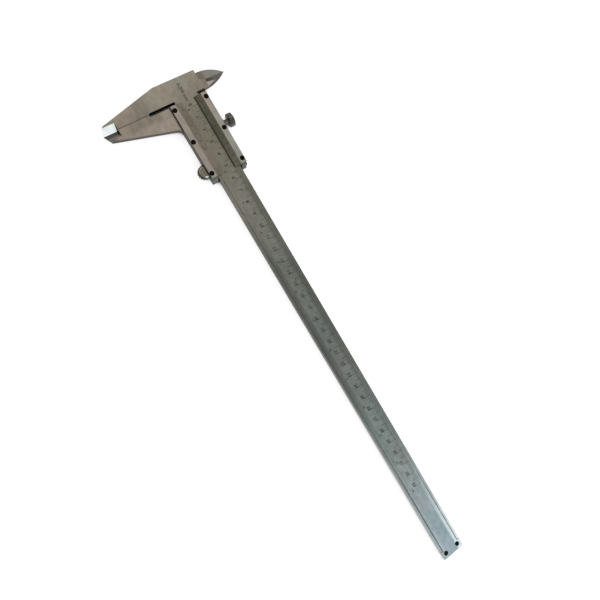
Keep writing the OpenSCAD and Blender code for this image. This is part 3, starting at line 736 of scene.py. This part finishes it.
# The bevels of the moving tip take a darker, greener copy of the bevel tone: painted shade
MOVING_BEVEL_SHADE_TONE = ((0.195, 0.212, 0.215), (0.161, 0.175, 0.177), (0.18, 0.24))
BLADE_ROOT_SHADE_TONE = ((0.142, 0.137, 0.127), (0.109, 0.105, 0.097), (0.22, 0.32))
SLIDE_REAR_TONE = ((0.163, 0.158, 0.146), (0.122, 0.117, 0.108), (0.34, 0.46))
THUMB_TONE = ((0.205, 0.182, 0.166), (0.155, 0.137, 0.125), (0.34, 0.46))
THUMB_EDGE_SHADE_TONE = ((0.060, 0.060, 0.055), (0.044, 0.044, 0.040), (0.30, 0.42))
THUMB_RIM_HIGHLIGHT_TONE = ((0.40, 0.395, 0.39), (0.33, 0.325, 0.32), (0.16, 0.24))
CHAMFER_TONE = ((0.190, 0.190, 0.178), (0.148, 0.148, 0.137), (0.34, 0.46))
# Painted shade darkens the side walls of the slide
SLIDE_WALL_SHADE_TONE = ((0.062, 0.059, 0.055), (0.040, 0.038, 0.036), (0.38, 0.52))

slide_steel = steel_finish("slide_steel", JAW_TONE, [
    (SEAM_STAIN, PALM_TONE),
    (TIP_STAIN, TIP_STAIN_TONE),
    (KNIFE_BEVELS, MOVING_BEVEL_SHADE_TONE),
    (INSIDE_BLADES, BLADE_TONE),
    (BLADE_ROOT, BLADE_ROOT_SHADE_TONE),
    (BLADE_TIPS, TIP_TONE),
    (BLADE_RIM, WALL_SHADE_TONE),
    (SLIDE_REAR, SLIDE_REAR_TONE),
    (THUMB_FACE, THUMB_TONE),
    (THUMB_EDGE, THUMB_EDGE_SHADE_TONE),
    (THUMB_RIM_HIGHLIGHT, THUMB_RIM_HIGHLIGHT_TONE),
    (REAR_CHAMFER, CHAMFER_TONE),
    (JAW_SEAM, SEAM_TONE),
    (UPRIGHT, SLIDE_WALL_SHADE_TONE),
    (LOWER_WALL, LOWER_WALL_SHADE_TONE),
    (MEASURING_FACES, LAPPED_TONE),
    (SLOT_WALLS, GAP_SHADE_TONE),
], dirt=[SLOT_BORDERS])
print("steel:", slide_steel.name)

# %% Steel of the plates
# The lower plate: the part next to the thumb, and its slope, darker and warmer with painted shade, stained at
# its rear
THUMB_SIDE = where(along=[(30, 46), (58, 51)], across=(1, -1))
LOWER_SLOPE = where(lean_y=(0.15, 0.25))
LOWER_SLOPE_REAR = where(LOWER_SLOPE, THUMB_SIDE)
# The upper plate: its slope, lighter with painted light, a painted highlight at its end, and dirt with
# painted shadow along its thin edge
UPPER_SLOPE = where(lean_y=(-0.15, -0.25))
SLOPE_END_HIGHLIGHT = where(UPPER_SLOPE, along=(36, 54))
PLATE_LIP = where(UPPER_SLOPE, across=(6.0, 5.5))
# The rear ends of both plates, brightened with a painted highlight
PLATE_END = where(lean_x=(0.6, 0.8))

PLATE_TONE = ((0.262, 0.262, 0.262), (0.206, 0.205, 0.202), (0.20, 0.30))
THUMB_SIDE_TONE = ((0.275, 0.246, 0.250), (0.216, 0.193, 0.193), (0.20, 0.30))
LOWER_SLOPE_SHADE_TONE = ((0.196, 0.182, 0.155), (0.153, 0.143, 0.121), (0.20, 0.30))
LOWER_REAR_TONE = ((0.237, 0.203, 0.178), (0.185, 0.159, 0.139), (0.20, 0.30))
UPPER_SLOPE_LIGHT_TONE = ((0.312, 0.304, 0.274), (0.245, 0.238, 0.214), (0.20, 0.30))
SLOPE_END_HIGHLIGHT_TONE = ((0.420, 0.415, 0.405), (0.360, 0.355, 0.345), (0.20, 0.30))
PLATE_LIP_DIRT_AND_SHADOW_TONE = ((0.075, 0.068, 0.056), (0.056, 0.050, 0.042), (0.30, 0.40))
PLATE_END_HIGHLIGHT_TONE = ((0.60, 0.59, 0.57), (0.50, 0.49, 0.47), (0.30, 0.42))

plate_steel = steel_finish("plate_steel", PLATE_TONE, [
    (THUMB_SIDE, THUMB_SIDE_TONE),
    (LOWER_SLOPE, LOWER_SLOPE_SHADE_TONE),
    (LOWER_SLOPE_REAR, LOWER_REAR_TONE),
    (UPPER_SLOPE, UPPER_SLOPE_LIGHT_TONE),
    (SLOPE_END_HIGHLIGHT, SLOPE_END_HIGHLIGHT_TONE),
    (PLATE_LIP, PLATE_LIP_DIRT_AND_SHADOW_TONE),
    (UPRIGHT, WALL_SHADE_TONE),
    (LOWER_WALL, LOWER_WALL_SHADE_TONE),
    (PLATE_END, PLATE_END_HIGHLIGHT_TONE),
], dirt=[PLATE_SCREW_RINGS])
print("steel:", plate_steel.name)


# %% [markdown]
# ## The knob, the screws and the brass strip
# The lock screw and the small screws are blacked: heated and dipped in oil, which leaves a thin dark skin
# that wears off in patches. The strip between the beam and the upper bar is brass, because it slides. The
# ink of the scales is a skin too, so one recipe serves for all of them.

# %% Recipe for a skin
SKIN_BUMP = 0.15
SKIN_EDGE_MM = 0.15
RUB_ON_PATCHES = 0.45


def skin_finish(name, deep, worn, metal, rough, patch_size, shine=0.5, wear_and_highlight=0.0, rub=None, rub_tone=None):
    """A skin of one tone that wears to another in patches, with worn edges that carry a painted highlight and
    places rubbed by fingers.
    """
    finish = bpy.data.materials.new(name)
    tree = fresh_tree(finish)
    spot = tree.nodes.new("ShaderNodeTexCoord")
    place, normal = spot.outputs["Object"], spot.outputs["Normal"]
    patches = use_group(tree, handling_clouds, Vector=place, Size=patch_size)
    colour = blend(tree, patches, deep, worn)
    if rub:
        rubbed = sum_node(tree, "MULTIPLY", rub(tree, place, normal),
                          spread(tree, patches, 0.0, 1.0, 1.0, RUB_ON_PATCHES))
        colour = blend(tree, rubbed, colour, rub_tone)
    if wear_and_highlight:
        colour = over(tree, use_group(tree, edge_nearness, Radius=SKIN_EDGE_MM * MM), wear_and_highlight, colour, WORN_AND_HIGHLIGHT_TONE)
    finish_tree(tree, colour, spread(tree, patches, 0.0, 1.0, *rough), patches, metal, SKIN_BUMP, shine)
    return finish


print("skin recipe ready")

# %% Rim of the knob
KNOB_HEIGHT_MM = 4.5
knob_under_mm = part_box("lock_screw")[1].y / MM - KNOB_HEIGHT_MM
OUTWARD_RANGE = (0.35, 0.60)
OUTWARD_SHARE = 0.9
NECK_MM = (knob_under_mm - 1.6, knob_under_mm - 0.5)
NECK_LEAST = 0.1
KNOB_MM = (knob_under_mm - 0.1, knob_under_mm)


def round_the_rim(tree, place, normal):
    """Faces that look away from the axis of the lock screw, without the corner between neck and knob."""
    along_axis = sum_node(tree, "ABSOLUTE", axes(tree, normal)[1])
    outward = spread(tree, along_axis, *OUTWARD_RANGE, OUTWARD_SHARE, 0.0)
    height = axes(tree, place)[1]
    neck = spread(tree, height, *[limit * MM for limit in NECK_MM], 1.0, NECK_LEAST)
    knob = spread(tree, height, *[limit * MM for limit in KNOB_MM])
    return sum_node(tree, "MULTIPLY", outward, sum_node(tree, "MAXIMUM", neck, knob))


print("underside of the knob at", round(knob_under_mm, 2), "mm")

# %% Blacked steel, brass and ink
# The knob's worn edges carry a painted highlight
knob_steel = skin_finish(
    "knob_steel", deep=(0.078, 0.072, 0.062), worn=(0.140, 0.130, 0.114), metal=1.0, rough=(0.34, 0.48),
    patch_size=420.0, wear_and_highlight=0.5, rub=round_the_rim, rub_tone=(0.092, 0.080, 0.067),
)
screw_black = skin_finish(
    "screw_black", deep=(0.003, 0.003, 0.003), worn=(0.006, 0.006, 0.005), metal=0.0, rough=(0.5, 0.7),
    patch_size=1500.0, shine=0.08,
)
gib_brass = skin_finish(
    "gib_brass", deep=(0.62, 0.45, 0.20), worn=(0.45, 0.32, 0.15), metal=1.0, rough=(0.3, 0.5),
    patch_size=400.0,
)
line_ink = skin_finish(
    "line_ink", deep=(0.020, 0.019, 0.016), worn=(0.050, 0.047, 0.041), metal=0.0, rough=(0.6, 0.8),
    patch_size=900.0, shine=0.2,
)
print("skins:", [finish.name for finish in (knob_steel, screw_black, gib_brass, line_ink)])

# %% Finishes on the solid parts
NODE_FINISH = {
    "main_beam": beam_steel, "end_stop": beam_steel, "depth_rod": beam_steel,
    "moving_jaw": slide_steel, "upper_bar": slide_steel, "rear_plate": slide_steel,
    "upper_vernier_plate": plate_steel, "lower_vernier_plate": plate_steel,
    "lock_screw": knob_steel, "gib_screws": knob_steel, "depth_rod_rivets": knob_steel,
    "end_stop_screws": screw_black, "upper_plate_screws": screw_black, "lower_plate_screws": screw_black,
    "gib_strip": gib_brass,
}
for node_name, finish in NODE_FINISH.items():
    nodes[node_name].data.materials.clear()
    nodes[node_name].data.materials.append(finish)
print("finished parts:", len(NODE_FINISH))


# %% [markdown]
# ## Graduations of the main scale
# A scale is cut into the steel by a dividing machine and filled with black. Cutting 500 grooves into the
# solid would cost much and show little, so the fill is modelled instead: one thin bar for each kind of line,
# repeated by an Array modifier at the pitch of the scale.

# %% One row of lines
BEAM_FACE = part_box("main_beam")[1].z
SCALE_ZERO_MM = 7.1
INK_HEIGHT_MM = 0.01


def lay_lines(name, low_y, high_y, width, pitch, count):
    """A row of inked lines from the zero of the scales, on the plane z = 0, in millimetres."""
    clear_selection()
    middle = (SCALE_ZERO_MM * MM, (low_y + high_y) / 2 * MM, 0.0)
    bpy.ops.mesh.primitive_plane_add(size=1.0, location=middle)
    line = bpy.context.object
    line.name = name
    line.scale = (width * MM, (high_y - low_y) * MM, 1.0)
    bpy.ops.object.transform_apply(location=True, scale=True)
    bpy.ops.object.mode_set(mode="EDIT")
    bpy.ops.mesh.select_all(action="SELECT")
    bpy.ops.mesh.extrude_region_move(TRANSFORM_OT_translate={"value": (0, 0, INK_HEIGHT_MM * MM)})
    bpy.ops.mesh.select_all(action="SELECT")
    bpy.ops.mesh.normals_make_consistent(inside=False)
    bpy.ops.object.mode_set(mode="OBJECT")
    row = line.modifiers.new("row", "ARRAY")
    row.count = count
    row.use_relative_offset = False
    row.use_constant_offset = True
    row.constant_offset_displace = (pitch * MM, 0, 0)
    bpy.ops.object.modifier_apply(modifier=row.name)
    return line


def join(name, pieces):
    """Joins pieces into the first one."""
    clear_selection()
    for piece in pieces:
        piece.select_set(True)
    bpy.context.view_layer.objects.active = pieces[0]
    bpy.ops.object.join()
    piece = bpy.context.object
    piece.name = name
    piece.data.name = name
    return piece


def set_down(piece, offset, tilt=0.0, body="beam"):
    """Turns a flat piece about X, moves it to its place, applies both and lets it ride on a body."""
    clear_selection()
    piece.select_set(True)
    bpy.context.view_layer.objects.active = piece
    piece.rotation_euler = (tilt, 0, 0)
    piece.location = offset
    bpy.ops.object.transform_apply(location=True, rotation=True, scale=True)
    piece.data.materials.clear()
    piece.data.materials.append(line_ink)
    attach(piece, body)


print("beam face at", round(BEAM_FACE / MM, 3), "mm")

# %% Millimetre lines
ON_BEAM = (0, 0, BEAM_FACE)
# Places across the beam: the shared top of all lines, and the lower ends of the three kinds
LINE_TOP_MM = 6.0
SHORT_LINE_MM = 3.4
LINE_MIDDLE_MM = 1.3
LINE_LOW_MM = 0.5
FINE_LINE_MM = 0.14
BROAD_LINE_MM = 0.28
metric_lines = join("metric_lines", [
    lay_lines("millimetre_lines", SHORT_LINE_MM, LINE_TOP_MM, FINE_LINE_MM, pitch=1.0, count=331),
    lay_lines("five_millimetre_lines", LINE_MIDDLE_MM, LINE_TOP_MM, BROAD_LINE_MM, pitch=5.0, count=67),
    lay_lines("centimetre_lines", LINE_LOW_MM, LINE_MIDDLE_MM, BROAD_LINE_MM, pitch=10.0, count=34),
])
set_down(metric_lines, ON_BEAM)
print("main scale:", len(metric_lines.data.vertices), "points")


# %% [markdown]
# ## Numbers
# The numbers are stamped in a plain upright face. A text object gives their outlines; it is made a mesh
# before it is moved, so that its place ends up in its points, as with every other piece.

# %% Numbers of the main scale
CAPITAL_SHARE = 0.7
OUTLINE_STEPS = 3


def flat_number(text, x, y, height, bold):
    """One number, made a flat mesh in its place on the plane z = 0, in millimetres."""
    clear_selection()
    bpy.ops.object.text_add(location=(0, 0, 0))
    words = bpy.context.object
    words.data.body = text
    words.data.size = height * MM / CAPITAL_SHARE
    words.data.align_x = "CENTER"
    words.data.align_y = "CENTER"
    words.data.offset = bold * MM
    words.data.extrude = INK_HEIGHT_MM * MM / 2
    words.data.resolution_u = OUTLINE_STEPS
    bpy.ops.object.convert(target="MESH")
    words = bpy.context.object
    words.location = (x * MM, y * MM, INK_HEIGHT_MM * MM / 2)
    bpy.ops.object.transform_apply(location=True, rotation=True, scale=True)
    return words


def number_row(texts, pitch, shift, y, height, bold):
    """Numbers in a row from the zero of the scales, in millimetres."""
    return [
        flat_number(text, SCALE_ZERO_MM + pitch * step + shift, y, height, bold)
        for step, text in enumerate(texts)
    ]


CENTIMETRES = [str(mark) for mark in range(34)]
STAMPED_BOLD_MM = 0.09
metric_numbers = join("metric_numbers", number_row(
    CENTIMETRES, pitch=10, shift=-1.7, y=-0.2, height=2.5, bold=STAMPED_BOLD_MM,
))
set_down(metric_numbers, ON_BEAM)
print("numbers:", CENTIMETRES[0], "to", CENTIMETRES[-1])

# %% Range of the scale on the head
RANGE_TEXT = "0-300 mm"
range_mark = flat_number(RANGE_TEXT, x=-5.0, y=-0.3, height=2.4, bold=0.05)
range_mark.name = "range_mark"
set_down(range_mark, ON_BEAM)
print("mark on the head:", RANGE_TEXT)

# %% Inch scale
INCH = 25.4
INCHES = [str(mark) for mark in range(14)]
INCH_LINE_MM = 0.12
# Places across the beam: the shared start of all lines, and the ends of the three kinds
INCH_START_MM = -5.6
SIXTEENTH_END_MM = -4.1
QUARTER_END_MM = -3.5
WHOLE_END_MM = -2.6
inch_lines = join("inch_lines", [
    lay_lines("sixteenth_lines", INCH_START_MM, SIXTEENTH_END_MM, INCH_LINE_MM, pitch=INCH / 16, count=209),
    lay_lines("quarter_lines", SIXTEENTH_END_MM, QUARTER_END_MM, INCH_LINE_MM, pitch=INCH / 4, count=53),
    lay_lines("whole_inch_lines", QUARTER_END_MM, WHOLE_END_MM, INCH_LINE_MM, pitch=INCH, count=14),
])
set_down(inch_lines, ON_BEAM)
inch_numbers = join("inch_numbers", number_row(
    INCHES, pitch=INCH, shift=1.4, y=-3.2, height=1.5, bold=STAMPED_BOLD_MM,
))
set_down(inch_numbers, ON_BEAM)
print("inch scale:", INCHES[0], "to", INCHES[-1])


# %% [markdown]
# ## Vernier lines
# Fifty divisions of the upper plate are as long as forty-nine millimetres of the beam, which is how a vernier
# reads fiftieths. Both plates slope down to the beam, so their lines are laid flat, turned about X to the
# slope and moved onto it. They ride on the slide.

# %% Slope of the plates
plate_low, plate_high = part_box("upper_vernier_plate")
PLATE_EDGE_MM = 0.15
PLATE_FLAT_MM = 4.6
edge_y = plate_low.y
edge_z = plate_low.z + PLATE_EDGE_MM * MM
slope = math.atan2(plate_high.z - edge_z, plate_high.y - PLATE_FLAT_MM * MM - edge_y)
print("slope of the plates:", round(math.degrees(slope), 2), "degrees")

# %% Vernier lines on both plates
# One division of each plate, and every fifth of them, which has a number
FIFTIETH_MM = 0.98
FINE_INCH_MM = INCH * 0.049
NUMBERED = 5
TENTH_MM = FIFTIETH_MM * NUMBERED
FIFTH_INCH_MM = FINE_INCH_MM * NUMBERED
PLATE_LINE_MM = 0.17
# Ways up the slope from its thin edge: start and end of the short lines, end of the long ones, numbers
LINE_START_MM = 0.05
SHORT_END_MM = 1.5
LONG_END_MM = 2.2
NUMBER_UP_MM = 3.2
TENTHS = [str(mark % 10) for mark in range(11)]
INCH_PARTS = [str(NUMBERED * mark) for mark in range(6)]
VERNIER_NUMBERS = dict(shift=0.0, height=1.4, bold=0.03)

vernier_lines = join("metric_vernier_lines", [
    lay_lines("fiftieth_lines", LINE_START_MM, SHORT_END_MM, PLATE_LINE_MM, pitch=FIFTIETH_MM, count=51),
    lay_lines("tenth_lines", SHORT_END_MM, LONG_END_MM, PLATE_LINE_MM, pitch=TENTH_MM, count=11),
] + number_row(TENTHS, pitch=TENTH_MM, y=NUMBER_UP_MM, **VERNIER_NUMBERS))
set_down(vernier_lines, (0, edge_y, edge_z), tilt=slope, body="slide")

inch_vernier_lines = join("inch_vernier_lines", [
    lay_lines("fine_inch_lines", -SHORT_END_MM, -LINE_START_MM, PLATE_LINE_MM, pitch=FINE_INCH_MM, count=26),
    lay_lines("fifth_inch_lines", -LONG_END_MM, -SHORT_END_MM, PLATE_LINE_MM, pitch=FIFTH_INCH_MM, count=6),
] + number_row(INCH_PARTS, pitch=FIFTH_INCH_MM, y=-NUMBER_UP_MM, **VERNIER_NUMBERS))
set_down(inch_vernier_lines, (0, -edge_y, edge_z), tilt=-slope, body="slide")
print("vernier numbers:", TENTHS, INCH_PARTS)
